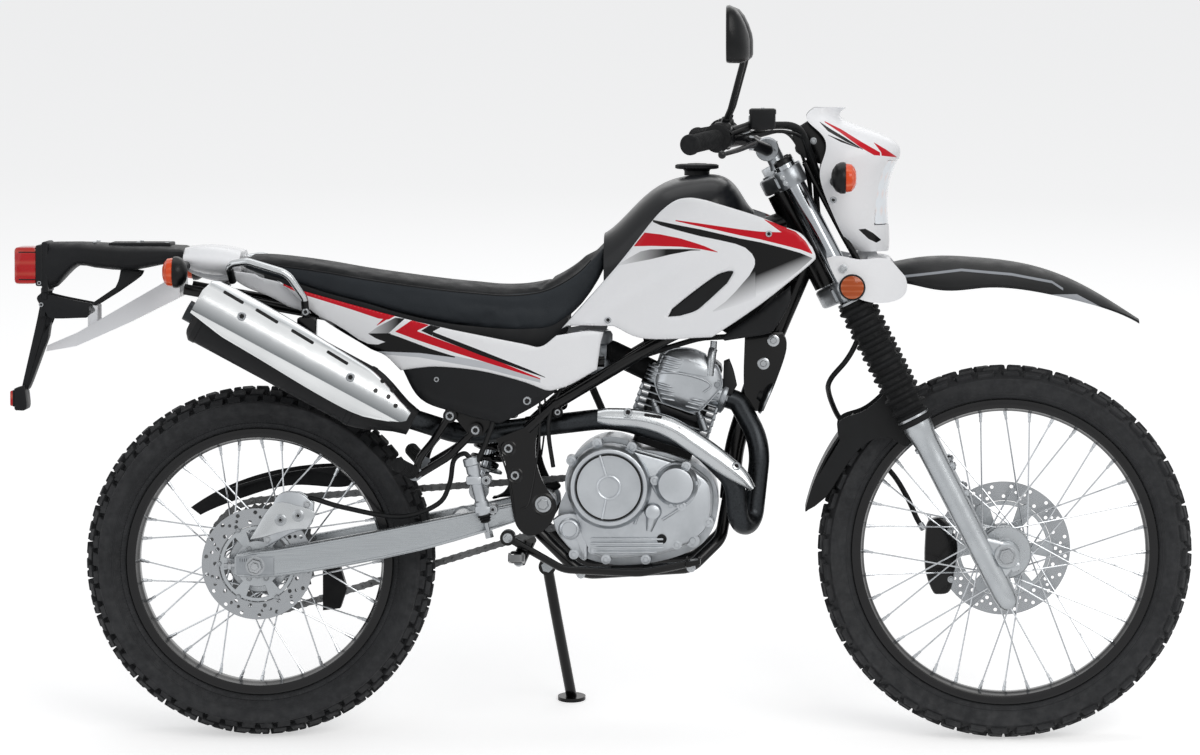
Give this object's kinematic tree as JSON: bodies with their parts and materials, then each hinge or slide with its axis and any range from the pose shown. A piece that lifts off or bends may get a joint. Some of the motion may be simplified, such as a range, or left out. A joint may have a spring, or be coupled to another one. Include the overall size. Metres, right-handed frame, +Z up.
{
  "type": "dual sport motorcycle",
  "caption": "Light on-off-road motorcycle with wire wheels and lugged tyres, parked leaning on its side stand; the wheels turn, the fork steers and the stand folds.",
  "frame": {"origin": "on the floor, below the middle of the parked motorcycle's outline", "axes": "+X forward, +Y to the rider's left, +Z up"},
  "size_m": [2.1571, 0.9353, 1.3865],
  "materials": {
    "frame_paint": "satin black",
    "alloy": "satin",
    "engine_alloy": "silver paint",
    "rim_black": "satin black",
    "steel": "brushed",
    "dark_steel": "heat-proof black",
    "chrome_steel": "polished",
    "white_plastic": "gloss",
    "black_plastic": "matt",
    "tank_paint": "gloss black",
    "seat_vinyl": "matt vinyl",
    "rubber": "matt",
    "tyre_rubber": "matt",
    "red_lens": "clear red",
    "amber_lens": "clear amber",
    "clear_lens": "clear"
  },
  "bodies": {
    "chassis": {"frame_backbone": "frame_paint", "frame_cradle": "frame_paint", "frame_rails": "frame_paint", "subframe": "frame_paint", "swingarm": "alloy", "shock_absorber": "steel", "crankcase": "engine_alloy", "engine_covers": "engine_alloy", "cylinder": "engine_alloy", "intake": "rubber", "exhaust_pipe": "dark_steel", "muffler": "dark_steel", "exhaust_shields": "steel", "fuel_tank": "tank_paint", "fuel_cap": "black_plastic", "tank_shrouds": "white_plastic", "lower_covers": "black_plastic", "side_panels": "white_plastic", "seat": "seat_vinyl", "tail_cowl": "white_plastic", "rear_fender": "white_plastic", "tail_bracket": "black_plastic", "rear_lamps": "red_lens", "rear_signals": "amber_lens", "grab_rails": "alloy", "footrests": "steel", "rear_brake": "alloy", "chain": "steel", "chain_guards": "black_plastic"},
    "steering": {"triple_clamps": "engine_alloy", "fork_tubes": "chrome_steel", "fork_boots": "rubber", "fork_lowers": "alloy", "handlebar": "dark_steel", "grips": "rubber", "hand_controls": "black_plastic", "mirrors": "black_plastic", "gauge": "black_plastic", "headlight_cowl": "white_plastic", "headlight_lens": "clear_lens", "front_signals": "amber_lens", "fender_blades": "black_plastic", "front_fender": "white_plastic", "front_caliper": "alloy", "brake_hose": "rubber"},
    "front_wheel": {"front_tyre": "tyre_rubber", "front_rim": "rim_black", "front_hub": "alloy", "front_disc": "steel"},
    "rear_wheel": {"rear_tyre": "tyre_rubber", "rear_rim": "rim_black", "rear_hub": "alloy", "rear_disc": "steel", "rear_sprocket": "steel"},
    "side_stand": {"side_stand": "frame_paint"}
  },
  "joints": [
    {"name": "steering_head", "type": "hinge", "parent": "chassis", "child": "steering", "pos_m": [0.4179, -0.0696, 0.81776], "axis": [-0.4571, 0.1391, 0.8785], "range_deg": [-45, 45]},
    {"name": "front_axle", "type": "hinge", "parent": "steering", "child": "front_wheel", "pos_m": [0.738, -0.14566, 0.33759], "axis": [0, 0.9877, -0.1564], "continuous": true},
    {"name": "rear_axle", "type": "hinge", "parent": "chassis", "child": "rear_wheel", "pos_m": [-0.622, -0.14886, 0.31734], "axis": [0, 0.9877, -0.1564], "continuous": true},
    {"name": "stand_pivot", "type": "hinge", "parent": "chassis", "child": "side_stand", "pos_m": [-0.102, -0.03552, 0.27864], "axis": [0, 0.9971, 0.0759], "range_deg": [0, 100]}
  ]
}
